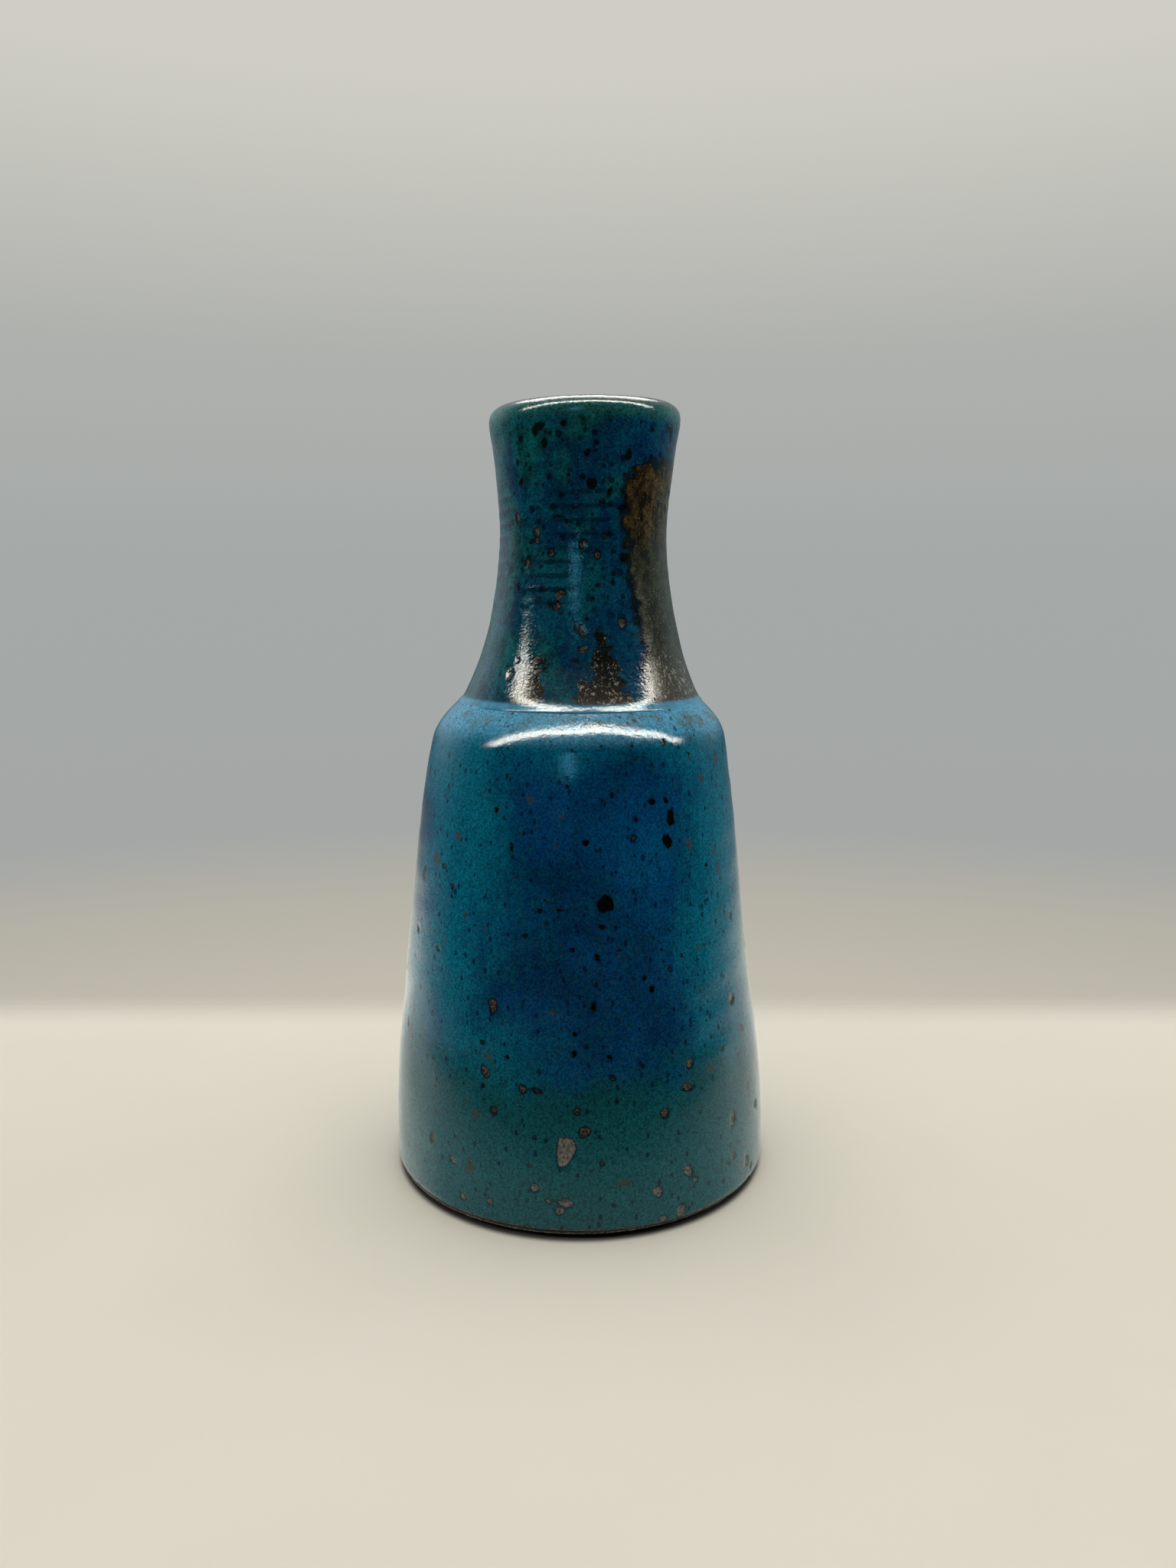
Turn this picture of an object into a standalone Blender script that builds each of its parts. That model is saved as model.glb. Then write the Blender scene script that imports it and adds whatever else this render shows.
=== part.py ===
"""Ceramic bud vase: a thrown stoneware bottle with a joined neck, under three coats of glaze.

The vase stands on the XY plane with its axis on Z. Every piece is turned about that axis, and
each touches its neighbours across a small bond gap. From the inside out the pieces are:
  liner_glaze      the coat inside, from the floor up to the mouth
  stoneware_body   floor, foot ring, wall and shoulder, thrown in one piece
  luting_slip      the ring of slip that bonds the neck to the shoulder
  stoneware_neck   the separately thrown neck, located in the shoulder's opening by a spigot
  body_glaze       the coat outside, from the foot up to the crease under the neck
  neck_glaze       the coat outside the neck, which rolls over the lip into the mouth
"""

import math

import bmesh
import bpy

MM = 0.001
TURN_STEPS = 40
COLLECTION_NAME = "ceramic_bud_vase"

# Overall size, in millimetres.
TOTAL_HEIGHT = 120.0
LIP_RADIUS = 14.54
LIP_WIDEST_Z = 117.9
CREST_RADIUS = 12.0

# Outer, glazed outline, as (radius, height) points that a smooth curve passes through.
GLAZE_LINE_Z = 1.2
BODY_SIDE = ((30.42, GLAZE_LINE_Z), (30.10, 11.5), (29.45, 19.5), (28.20, 28.5), (27.25, 37.5),
             (25.30, 55.0), (24.25, 63.0), (23.40, 68.4))
SHOULDER_HANDLES = ((22.90, 72.5), (20.30, 74.0))
CREASE = (18.42, 76.2)
NECK_SIDE = (CREASE, (15.95, 82.3), (13.98, 90.7), (12.92, 100.5), (13.52, 109.5),
             (LIP_RADIUS, LIP_WIDEST_Z))

# Coats and clay thickness.
GLAZE = 0.5
BOND_GAP = 0.3
COAT = GLAZE + BOND_GAP
BODY_CLAY = 3.6
NECK_CLAY = 2.4

# Bare foot: a band of clay under the glaze, an undercut, and a ring around a shallow recess.
FOOT_BAND_RADIUS = 30.0
FOOT_BAND_LOW_Z = 0.55
FOOT_RADIUS = 28.9
FOOT_RING_INNER = 22.6
RECESS_RADIUS = 21.4
RECESS_DEPTH = 1.5
FLOOR_TOP = 6.2
FLOOR_CORNER = 5.0

# Joint between the neck and the shoulder: the neck's spigot hangs in the shoulder's opening,
# level with the ceiling of the body's hollow, and its flange stands on a ring of slip.
SEAT_Z = 75.0
CEILING_Z = 72.7
SEAT_INNER = 15.4
SPIGOT_RADIUS = SEAT_INNER - BOND_GAP
THROAT_RADIUS = 13.5
THROAT_ROUND = 1.2
SLIP_THICKNESS = 0.7
SLIP_INSET = 0.9
NECK_FOOT_Z = SEAT_Z + SLIP_THICKNESS + 2 * BOND_GAP
BORE_START_Z = 80.0

# Mouth: where the outer coat, rolled over the lip, meets the liner.
MOUTH_SEAM_Z = 114.5
MOUTH_RADIUS = LIP_RADIUS - (NECK_CLAY + 2 * COAT)

MATERIALS = {
    # name: base colour, roughness, metallic
    "bare_stoneware": ((0.235, 0.190, 0.150), 0.88, 0.0),
    "slip": ((0.290, 0.245, 0.200), 0.92, 0.0),
    "cobalt_glaze": ((0.004, 0.024, 0.060), 0.30, 0.0),
    "neck_glaze": ((0.006, 0.030, 0.056), 0.32, 0.0),
    "liner_glaze": ((0.010, 0.045, 0.070), 0.28, 0.0),
}


# ---------------------------------------------------------------- curves in (radius, height)

def smooth_through(points, per_span):
    """Cubic curve through the points, with per_span steps between each two."""
    last = len(points) - 1
    tangents = []
    for i in range(len(points)):
        before, after = points[max(i - 1, 0)], points[min(i + 1, last)]
        span = after[1] - before[1]
        tangents.append((after[0] - before[0]) / span)
    curve = []
    for i in range(last):
        (r0, z0), (r1, z1) = points[i], points[i + 1]
        rise = z1 - z0
        for step in range(per_span):
            t = step / per_span
            r = (r0 * (2 * t**3 - 3 * t**2 + 1) + r1 * (3 * t**2 - 2 * t**3)
                 + rise * tangents[i] * (t**3 - 2 * t**2 + t)
                 + rise * tangents[i + 1] * (t**3 - t**2))
            curve.append((r, z0 + rise * t))
    curve.append(points[-1])
    return curve


def bezier(start, handle_a, handle_b, end, steps):
    """Cubic Bezier curve, with both of its ends."""
    curve = []
    for step in range(steps + 1):
        t = step / steps
        weights = ((1 - t)**3, 3 * (1 - t)**2 * t, 3 * (1 - t) * t**2, t**3)
        corners = (start, handle_a, handle_b, end)
        curve.append(tuple(sum(w * p[axis] for w, p in zip(weights, corners)) for axis in (0, 1)))
    return curve


def ellipse_arc(centre, radii, from_deg, to_deg, steps):
    """Arc of an upright ellipse, with both of its ends."""
    curve = []
    for step in range(steps + 1):
        angle = math.radians(from_deg + (to_deg - from_deg) * step / steps)
        curve.append((centre[0] + radii[0] * math.cos(angle), centre[1] + radii[1] * math.sin(angle)))
    return curve


def inward(curve, distance):
    """The curve, which runs upwards outside the wall, moved into the wall by the distance."""
    moved = []
    for i, (r, z) in enumerate(curve):
        before, after = curve[max(i - 1, 0)], curve[min(i + 1, len(curve) - 1)]
        along_r, along_z = after[0] - before[0], after[1] - before[1]
        length = math.hypot(along_r, along_z)
        moved.append((r - distance * along_z / length, z + distance * along_r / length))
    return moved


def cut_below(curve, height):
    """The part of a rising curve above a height, starting exactly on it."""
    kept = [point for point in curve if point[1] > height + 0.05]
    return [(radius_at(curve, height), height)] + kept


def cut_above(curve, height):
    """The part of a rising curve under a height, ending exactly on it."""
    kept = [point for point in curve if point[1] < height - 0.05]
    return kept + [(radius_at(curve, height), height)]


def radius_at(curve, height):
    """Radius of a rising curve at a height; beyond its ends, that of the end."""
    for (r0, z0), (r1, z1) in zip(curve, curve[1:]):
        if z0 <= height <= z1:
            return r0 + (r1 - r0) * (height - z0) / (z1 - z0)
    return curve[0][0] if height < curve[0][1] else curve[-1][0]


# ---------------------------------------------------------------- outlines of the vase

def body_outline():
    """Outer surface from the glaze line up to the crease."""
    side = smooth_through(BODY_SIDE, 1)
    shoulder = bezier(BODY_SIDE[-1], *SHOULDER_HANDLES, CREASE, 5)
    return side + shoulder[1:]


def neck_outline():
    """Outer surface from the crease up to the lip's widest line."""
    return smooth_through(NECK_SIDE, 2)


def lip_outline(depth):
    """Lip, moved into the wall by a depth: from outside, over the crest, down into the mouth."""
    outer = ellipse_arc((CREST_RADIUS, LIP_WIDEST_Z),
                        (LIP_RADIUS - CREST_RADIUS - depth, TOTAL_HEIGHT - LIP_WIDEST_Z - depth),
                        0, 90, 3)
    inner = ellipse_arc((CREST_RADIUS, LIP_WIDEST_Z),
                        (CREST_RADIUS - MOUTH_RADIUS - depth, TOTAL_HEIGHT - LIP_WIDEST_Z - depth),
                        90, 180, 3)
    return outer + inner[1:]


def cavity_outline(depth):
    """Body's hollow, rising from the floor's centre to the shoulder's underside.

    A depth above 0 lies that far from the glazed surface into the clay.
    """
    side = inward(body_outline(), BODY_CLAY + 2 * COAT - depth)
    floor_z = FLOOR_TOP + COAT - depth
    corner_z = floor_z + FLOOR_CORNER
    corner_r = radius_at(side, corner_z)
    corner = ellipse_arc((corner_r - FLOOR_CORNER, corner_z), (FLOOR_CORNER, FLOOR_CORNER), -90, 0, 4)
    ceiling_z = CEILING_Z - COAT + depth
    wall = [point for point in side if corner_z + 2 < point[1] < ceiling_z - 0.5]
    return [(0.0, floor_z)] + corner + wall


def bore_outline(depth):
    """Neck's bore, rising from the rounded rim of the throat to the lip; depth as above."""
    rim_round = THROAT_ROUND + COAT - depth
    rim = ellipse_arc((THROAT_RADIUS + THROAT_ROUND, CEILING_Z + THROAT_ROUND),
                      (rim_round, rim_round), 270, 180, 3)
    bore = inward(neck_outline(), NECK_CLAY + 2 * COAT - depth)
    wall = [point for point in bore if BORE_START_Z < point[1] < LIP_WIDEST_Z - 1]
    return rim + wall + [(MOUTH_RADIUS + depth, LIP_WIDEST_Z)]


# ---------------------------------------------------------------- solids

def make_material(name):
    colour, roughness, metallic = MATERIALS[name]
    material = bpy.data.materials.new(name)
    material.use_nodes = True
    shader = material.node_tree.nodes["Principled BSDF"]
    shader.inputs["Base Color"].default_value = (*colour, 1.0)
    shader.inputs["Roughness"].default_value = roughness
    shader.inputs["Metallic"].default_value = metallic
    return material


def turned(name, profile, closed, material, collection):
    """Solid turned about Z from a profile in millimetres, whose outer side runs downwards."""
    outline = bpy.data.meshes.new(name + "_profile")
    bm = bmesh.new()
    verts = [bm.verts.new((r * MM, 0.0, z * MM)) for r, z in profile]
    for first, second in zip(verts, verts[1:]):
        bm.edges.new((first, second))
    if closed:
        bm.edges.new((verts[-1], verts[0]))
    bm.to_mesh(outline)
    bm.free()

    piece = bpy.data.objects.new(name, outline)
    collection.objects.link(piece)
    screw = piece.modifiers.new("Turn", "SCREW")
    screw.axis = "Z"
    screw.angle = math.tau
    screw.steps = TURN_STEPS
    screw.render_steps = TURN_STEPS
    screw.use_merge_vertices = True
    screw.merge_threshold = 0.00001

    evaluated = piece.evaluated_get(bpy.context.evaluated_depsgraph_get())
    solid = bpy.data.meshes.new_from_object(evaluated)
    piece.modifiers.clear()
    piece.data = solid
    bpy.data.meshes.remove(outline)
    solid.name = name
    solid.materials.append(material)
    solid.shade_smooth()
    solid.set_sharp_from_angle(angle=math.radians(35))
    return piece


def body_glaze_profile():
    outer = body_outline()
    inner = cut_below(inward(outer, GLAZE), GLAZE_LINE_Z)
    return list(reversed(outer)) + inner


def neck_glaze_profile():
    """Outer coat of the neck: its low edge stands a bond gap clear of the body's coat."""
    low = CREASE[1] + BOND_GAP
    outside = cut_below(neck_outline(), low) + lip_outline(0.0)[1:]
    mouth_side = cut_below(bore_outline(0.0), MOUTH_SEAM_Z)
    under_side = cut_below(bore_outline(GLAZE), MOUTH_SEAM_Z)
    inside = cut_below(inward(neck_outline(), GLAZE), low)
    visible = outside + list(reversed(mouth_side))[1:]
    hidden = under_side + list(reversed(lip_outline(GLAZE)))[1:-1] + list(reversed(inside))
    return list(reversed(visible + hidden))


def neck_clay_profile():
    """Neck: spigot and bore, rounded lip, outer wall, and the flange that stands on the slip."""
    outside = cut_below(inward(neck_outline(), COAT), NECK_FOOT_Z)
    lip = list(reversed(lip_outline(COAT)))
    flange = [(SPIGOT_RADIUS, NECK_FOOT_Z), (SPIGOT_RADIUS, CEILING_Z)]
    return bore_outline(COAT) + lip[1:-1] + list(reversed(outside)) + flange


def slip_profile():
    low, high = SEAT_Z + BOND_GAP, SEAT_Z + BOND_GAP + SLIP_THICKNESS
    outer = radius_at(inward(body_outline(), COAT), SEAT_Z) - SLIP_INSET
    return [(outer, high), (outer, low), (SEAT_INNER, low), (SEAT_INNER, high)]


def body_clay_profile():
    """Body: floor, wall and ceiling inside, the seat, the wall outside, the foot and recess."""
    wall = cut_above(inward(body_outline(), COAT), SEAT_Z)
    band_top = GLAZE_LINE_Z - BOND_GAP
    outside = [(wall[0][0], band_top)] + [point for point in wall if point[1] > band_top + 1]
    seat = [(SEAT_INNER, CEILING_Z), (SEAT_INNER, SEAT_Z)]
    foot = [(FOOT_BAND_RADIUS, band_top), (FOOT_BAND_RADIUS, FOOT_BAND_LOW_Z), (FOOT_RADIUS, 0.0),
            (FOOT_RING_INNER, 0.0), (RECESS_RADIUS, RECESS_DEPTH), (0.0, RECESS_DEPTH)]
    return cavity_outline(COAT) + seat + list(reversed(outside)) + foot


def liner_profile():
    """Coat inside the vase, from the floor's centre up to the seam in the mouth and back."""
    seam = MOUTH_SEAM_Z - BOND_GAP
    visible = cavity_outline(0.0) + cut_above(bore_outline(0.0), seam)
    hidden = cavity_outline(GLAZE) + cut_above(bore_outline(GLAZE), seam)
    return visible + list(reversed(hidden))


def build():
    for old in list(bpy.data.objects):
        bpy.data.objects.remove(old, do_unlink=True)
    collection = bpy.data.collections.new(COLLECTION_NAME)
    bpy.context.scene.collection.children.link(collection)
    materials = {name: make_material(name) for name in MATERIALS}

    turned("stoneware_body", body_clay_profile(), False, materials["bare_stoneware"], collection)
    turned("stoneware_neck", neck_clay_profile(), True, materials["bare_stoneware"], collection)
    turned("luting_slip", slip_profile(), True, materials["slip"], collection)
    turned("body_glaze", body_glaze_profile(), True, materials["cobalt_glaze"], collection)
    turned("neck_glaze", neck_glaze_profile(), True, materials["neck_glaze"], collection)
    turned("liner_glaze", liner_profile(), False, materials["liner_glaze"], collection)


build()
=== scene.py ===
"""Looks of the ceramic bud vase: hand-thrown shape, layered cobalt glaze, bare stoneware foot.

Every piece is turned again from the outline of its CAD node, then thrown by hand: a slight lean,
an oval lip, throwing rings, pits, specks and a chip. Lengths on the vase are in millimetres until
a mesh is written. Azimuth 0 faces the camera and grows to the camera's right.
"""

import math

import bmesh
import bpy
import numpy as np
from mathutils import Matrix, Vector


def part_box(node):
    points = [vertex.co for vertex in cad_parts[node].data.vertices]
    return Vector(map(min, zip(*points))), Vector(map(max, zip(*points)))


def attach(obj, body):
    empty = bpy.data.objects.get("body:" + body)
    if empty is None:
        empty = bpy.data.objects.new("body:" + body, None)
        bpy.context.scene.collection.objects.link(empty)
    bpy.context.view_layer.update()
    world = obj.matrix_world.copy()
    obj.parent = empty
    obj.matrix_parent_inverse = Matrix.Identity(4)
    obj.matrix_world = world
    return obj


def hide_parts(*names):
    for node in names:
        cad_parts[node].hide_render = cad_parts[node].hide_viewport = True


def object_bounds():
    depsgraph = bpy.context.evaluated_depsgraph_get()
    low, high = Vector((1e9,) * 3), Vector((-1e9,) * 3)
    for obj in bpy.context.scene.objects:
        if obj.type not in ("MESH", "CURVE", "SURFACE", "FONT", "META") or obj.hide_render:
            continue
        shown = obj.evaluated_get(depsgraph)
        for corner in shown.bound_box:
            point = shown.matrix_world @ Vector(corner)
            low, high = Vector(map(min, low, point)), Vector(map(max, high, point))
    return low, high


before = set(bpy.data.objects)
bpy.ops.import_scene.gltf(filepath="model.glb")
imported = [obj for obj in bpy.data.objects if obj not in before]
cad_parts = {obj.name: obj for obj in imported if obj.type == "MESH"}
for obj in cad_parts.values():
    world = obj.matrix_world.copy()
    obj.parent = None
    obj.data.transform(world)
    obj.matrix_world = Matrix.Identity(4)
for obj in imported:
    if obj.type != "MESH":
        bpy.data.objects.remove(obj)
cad_low, cad_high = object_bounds()

MM = 0.001
HEIGHT = (cad_high.z - cad_low.z) / MM
GLAZE_LINE_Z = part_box("body_glaze")[0].z / MM

# ---------------------------------------------------------------- marks on the glaze
# Each mark is (azimuth in degrees, height, half width, half height). These are the ones that
# catch the eye; the small ones between them are scattered by a seeded generator.

IRON_ON_BODY = (
    (9, 48.8, 1.35, 1.15), (26, 63, 0.75, 0.75), (31.5, 62.8, 0.45, 0.5), (33, 60.5, 0.72, 1.5),
    (31, 57.5, 0.7, 1.2), (12, 63.8, 0.5, 0.72), (3, 57.5, 0.5, 0.5), (-11.5, 47.8, 0.55, 0.5),
    (-5, 47.8, 0.6, 0.42), (8, 45.5, 0.75, 0.38), (24, 43.3, 0.65, 0.7), (13, 42, 0.7, 0.8),
    (-1, 42.3, 0.45, 0.4), (6, 41.6, 0.35, 0.65), (-18, 58.5, 0.45, 0.45), (-29, 61.5, 0.4, 0.6),
    (-25.5, 60.5, 0.45, 0.4), (32, 70.7, 0.45, 0.8), (23.5, 36.2, 0.55, 0.7), (5, 34, 0.35, 0.9),
    (9, 27, 0.65, 0.6), (-1, 27.5, 0.4, 0.5), (-22, 56, 0.35, 0.9), (21, 37.7, 0.4, 0.4),
)
RUST_ON_BODY = (
    (-56, 52.7, 1.0, 1.2), (-45, 57, 0.7, 0.7), (49.5, 65.3, 0.6, 0.8), (40.5, 55.7, 0.6, 0.7),
    (53, 53.7, 0.6, 0.7), (55.5, 51.3, 0.6, 1.3), (42, 40.5, 0.5, 0.6), (45, 71.3, 0.6, 0.7),
    (-78, 41, 1.1, 4.5), (-16, 63.4, 0.6, 0.6), (-28, 26, 0.9, 0.6), (42, 22.4, 0.9, 0.7),
    (-30, 17.3, 0.6, 0.6), (-32, 9, 0.7, 1.0), (12.5, 8.5, 0.9, 0.5), (-47, 41, 0.4, 0.5),
)
CRATERS_ON_BODY = (
    (-26, 33, 0.7, 1.1), (-27.5, 23.4, 0.85, 0.75), (-16, 22.2, 0.6, 0.75), (-11.5, 22.2, 0.75, 0.7),
    (35, 24, 0.6, 0.65), (33, 20.8, 0.7, 0.65), (25, 17.7, 0.65, 0.75), (-24.5, 17.9, 0.9, 0.75),
    (1.7, 16.2, 0.7, 0.6), (10, 24, 0.6, 0.6), (-0.2, 19.2, 0.5, 0.5), (-47, 11, 0.5, 0.6),
)
BARE_ON_BODY = (
    (32, 8.3, 0.75, 0.65), (34.5, 6.3, 0.55, 0.6), (22.5, 6.1, 0.6, 0.75), (29.5, 2.6, 0.95, 0.9),
    (24, 1.9, 0.55, 0.4), (-34.5, 3.8, 0.55, 0.5), (-25.5, 4.3, 0.35, 0.4), (-8.5, 5.9, 0.4, 0.35),
    (-3.5, 5.7, 0.65, 0.6), (-5, 4.3, 0.6, 0.5), (51, 13.3, 0.5, 1.1),
)

# Outlines of patches, as (height, left edge, right edge) with the edges in degrees.
CHIP_ON_BODY = ((10.9, -5.5, -4.3), (11.6, -5.7, -2.8), (12.6, -5.7, -1.5), (13.7, -5.8, -0.5),
                (14.7, -5.6, -0.9), (15.3, -5.2, -2.0))

IRON_ON_NECK = (
    (-28, 115.4, 1.5, 0.9), (-24.5, 113.4, 0.7, 0.8), (-20, 114.6, 0.5, 0.5), (-12, 115.8, 0.5, 0.6),
    (12.5, 114.2, 0.35, 0.4), (7, 113.2, 0.6, 0.4), (2, 111.8, 0.55, 0.55), (6.5, 110.9, 0.5, 0.5),
    (14, 111, 0.6, 0.3), (27.5, 111.8, 0.55, 0.8), (-0.7, 108.7, 0.6, 0.55), (5, 107.5, 0.85, 0.85),
    (16.5, 106.4, 0.6, 0.8), (24.5, 104.2, 1.2, 0.7), (-16, 103.1, 1.0, 0.6), (8.5, 101.3, 0.5, 0.45),
    (29, 97.6, 1.1, 0.6), (9, 93.2, 0.7, 0.4), (18.5, 93.8, 0.5, 0.4), (14.5, 90.6, 0.6, 0.4),
    (4.5, 88.2, 0.9, 0.5), (-22.5, 92.6, 0.5, 0.4), (-43, 107.9, 0.6, 0.6), (22, 107.6, 0.5, 0.4),
)
CRATERS_ON_NECK = (
    (-48, 102.9, 0.5, 0.6), (-32, 101, 0.7, 0.6), (-31, 99.6, 0.5, 0.45), (-0.3, 99, 0.7, 0.6),
    (10, 97.6, 0.55, 0.55), (-20, 97.7, 0.5, 0.45), (-38.5, 96.6, 0.7, 0.75), (-14.5, 91.8, 0.75, 0.8),
    (-17.7, 90.4, 0.85, 0.75), (24, 87.6, 0.65, 1.0), (-0.5, 86.8, 0.75, 0.85), (1, 84, 0.5, 0.5),
    (-3.7, 82.3, 0.5, 0.4), (-39.5, 80.4, 0.6, 0.9), (27.5, 111.6, 0.35, 0.45),
)

# Where the glaze on the body is thickest and deepest, as (azimuth, half width in degrees, low and
# high height). The first patch, on the front, is also painted shade: it darkens the dimly lit front.
DEEP_GLAZE_AND_SHADE_PATCHES = ((6, 31, 21, 70), (112, 22, 30, 66), (176, 34, 16, 71), (-128, 20, 24, 60),
                (-84, 12, 40, 66))
# Where its blue is brightest, in the same form, and where the neck's glaze is thinner.
BRIGHT_PATCHES = ((-10, 9, 24, 32), (-5, 15, 62, 71), (20, 9, 50, 66), (150, 14, 36, 60))
THIN_ON_NECK = (-14, 24, 84, 98)

# Patches of iron-rich glaze on the neck, as outlines again.
BROWN_PATCH = ((76.0, 36, 128), (83, 38, 131), (91, 36, 127), (97.5, 33, 133), (101, 29.5, 131),
               (107, 31, 122), (110, 34, 110), (110.6, 48, 100))
BLACK_PATCHES = (
    ((76.0, -2, 22), (79, 2, 21), (82.5, 5, 18), (86.5, 8, 14)),
    ((76.0, -33, -15), (79, -31, -17), (82.5, -25, -20)),
    ((76.0, -120, -82), (80, -112, -92), (86, -104, -102)),
    ((76.0, 148, 176), (79, 152, 171), (82, 160, 163)),
    ((76.0, -166, -140), (80.5, -158, -147), (84, -153, -151)),
)


# ---------------------------------------------------------------- outlines of the CAD nodes

def section(node):
    """Half section of a turned node at azimuth 90, as (radius, height) points in order.

    A piece that reaches the axis is open there, and gets its two points on the axis.
    """
    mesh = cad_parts[node].data
    points = [tuple(round(c / MM, 3) for c in v.co) for v in mesh.vertices]
    links = {}
    for edge in mesh.edges:
        ends = [points[i] for i in edge.vertices]
        if all(abs(y) < 0.002 and x > 0.002 for x, y, z in ends) and ends[0] != ends[1]:
            for here, there in (ends, ends[::-1]):
                links.setdefault((here[0], here[2]), set()).add((there[0], there[2]))
    open_ends = sorted((p for p in links if len(links[p]) == 1), key=lambda p: -p[1])
    here = open_ends[0] if open_ends else min(links)
    order = [here]
    while True:
        onward = [p for p in sorted(links[here]) if p not in order]
        if not onward:
            break
        here = onward[0]
        order.append(here)
    if open_ends:
        order = [(0.0, order[0][1])] + order + [(0.0, order[-1][1])]
    return np.array(order), not open_ends


def runs_between_corners(points, closed, corner_deg):
    """Splits an outline into smooth runs; each run starts at the corner where the last ended."""
    count = len(points)
    corners = [] if closed else [0]
    for i in range(0 if closed else 1, count if closed else count - 1):
        before, after = points[i] - points[i - 1], points[(i + 1) % count] - points[i]
        turn = math.degrees(math.atan2(after[1], after[0]) - math.atan2(before[1], before[0]))
        if abs((turn + 180) % 360 - 180) > corner_deg:
            corners.append(i)
    if not closed:
        corners.append(count - 1)
        return [points[a:b + 1] for a, b in zip(corners, corners[1:])]
    looped = np.vstack([points, points])
    return [looped[a:b + 1] for a, b in zip(corners, corners[1:] + [corners[0] + count])]


def resample(points, spacing):
    """Centripetal Catmull-Rom curve through the points, at a nearly even spacing."""
    padded = np.vstack([2 * points[0] - points[1], points, 2 * points[-1] - points[-2]])
    knots = np.concatenate([[0], np.cumsum(np.linalg.norm(np.diff(padded, axis=0), axis=1)**0.5)])
    spans = []
    for i in range(1, len(padded) - 2):
        t = np.linspace(knots[i], knots[i + 1], 40)[:, None]
        k, level = knots[i - 1:i + 3], list(padded[i - 1:i + 3])
        for reach in (1, 2):
            level = [(level[j] * (k[j + reach] - t) + level[j + 1] * (t - k[j])) / (k[j + reach] - k[j])
                     for j in range(4 - reach)]
        spans.append((level[0] * (k[2] - t) + level[1] * (t - k[1])) / (k[2] - k[1]))
    fine = np.vstack(spans)
    along = np.concatenate([[0], np.cumsum(np.linalg.norm(np.diff(fine, axis=0), axis=1))])
    even = np.linspace(0, along[-1], max(2, round(along[-1] / spacing) + 1))
    return np.column_stack([np.interp(even, along, fine[:, 0]), np.interp(even, along, fine[:, 1])])


# ---------------------------------------------------------------- noise and steps

def smoothstep(value, low, high):
    t = np.clip((value - low) / (high - low), 0, 1)
    return t * t * (3 - 2 * t)


def waves(x, y, z, size, seed, count=24):
    """Smooth noise with features about as wide as size, and a spread of about 1."""
    rng = np.random.default_rng(seed)
    total = np.zeros_like(x)
    for _ in range(count):
        direction = rng.normal(size=3)
        direction *= math.pi / size * rng.uniform(0.6, 1.4) / np.linalg.norm(direction)
        total += np.sin(x * direction[0] + y * direction[1] + z * direction[2]
                        + rng.uniform(0, math.tau))
    return total / math.sqrt(count / 2)


def scattered(seed, count, low_z, high_z, sizes, placed_within=55):
    """Small marks at random places, smaller on the front, where marks are also listed one by one."""
    rng = np.random.default_rng(seed)
    marks = []
    for _ in range(count):
        azimuth, height = rng.uniform(-180, 180), rng.uniform(low_z, high_z)
        width = rng.uniform(*sizes) * (0.5 if abs(azimuth) < placed_within else 1.0)
        marks.append((azimuth, height, width, width * rng.uniform(0.7, 1.4)))
    return tuple(marks)


class Surface:
    """One run of an outline turned about the axis, with a push along its normal and its fields."""

    def __init__(self, outline, steps, outward):
        self.r, self.z = outline[:, :1], outline[:, 1:]
        self.path = np.concatenate([[0], np.cumsum(np.linalg.norm(np.diff(outline, axis=0), axis=1))])
        self.azimuth = np.radians(-180 + 360 * np.arange(steps) / steps)[None, :]
        slope = np.gradient(outline, axis=0)
        slope /= np.maximum(np.linalg.norm(slope, axis=1, keepdims=True), 1e-9)
        self.normal_r, self.normal_z = -outward * slope[:, 1:], outward * slope[:, :1]
        self.x = self.r * np.sin(self.azimuth)
        self.y = -self.r * np.cos(self.azimuth)
        self.push = np.zeros_like(self.x)
        self.height = self.z + self.push
        self.fields = {}

    def noise(self, size, seed):
        return waves(self.x, self.y, self.height, size, seed)

    def along(self, height):
        """Path length at a height, on the part of the run that faces outwards."""
        top = int(np.argmax(self.z[:, 0]))
        side = slice(top, None) if self.r[-1, 0] > self.r[0, 0] else slice(0, top + 1)
        heights, paths = self.z[side, 0], self.path[side]
        rising = slice(None) if heights[0] < heights[-1] else slice(None, None, -1)
        return np.interp(height, heights[rising], paths[rising])

    def inside(self, marks, ragged, floor=-2.0):
        """Distance inside the edge of the nearest mark, negative outside; ragged roughens it."""
        field = np.full(self.x.shape, floor)
        for azimuth, height, half_width, half_height in marks:
            at = self.along(height)
            rows = np.abs(self.path - at) < half_height + 2
            turn = (self.azimuth - math.radians(azimuth) + math.pi) % math.tau - math.pi
            across, up = turn * self.r[rows], (self.path[rows] - at)[:, None]
            small = min(half_width, half_height)
            near = (1 - np.hypot(across / half_width, up / half_height)) * small
            field[rows] = np.maximum(field[rows], near + ragged[rows] * min(0.25, small * 0.3))
        return field

    def within(self, patch, ragged, low=-1.0):
        """Distance inside a patch given by its left and right edge at each height above low."""
        heights, left, right = (np.array(column, float) for column in zip(*patch))
        turn = np.degrees(self.azimuth)
        from_left = (turn - np.interp(self.z, heights, left) + 180) % 360 - 180
        from_right = (np.interp(self.z, heights, right) - turn + 180) % 360 - 180
        edge = np.minimum(from_left, from_right) * math.pi / 180 * self.r
        edge = np.minimum(edge, np.minimum(heights[-1] - self.z, self.z - low))
        return np.maximum(edge + ragged, -4.0)

    def points(self):
        radius = self.r + self.push * self.normal_r
        return (radius * np.sin(self.azimuth), -radius * np.cos(self.azimuth),
                self.height + self.push * self.normal_z)


# ---------------------------------------------------------------- throwing by hand

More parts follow.
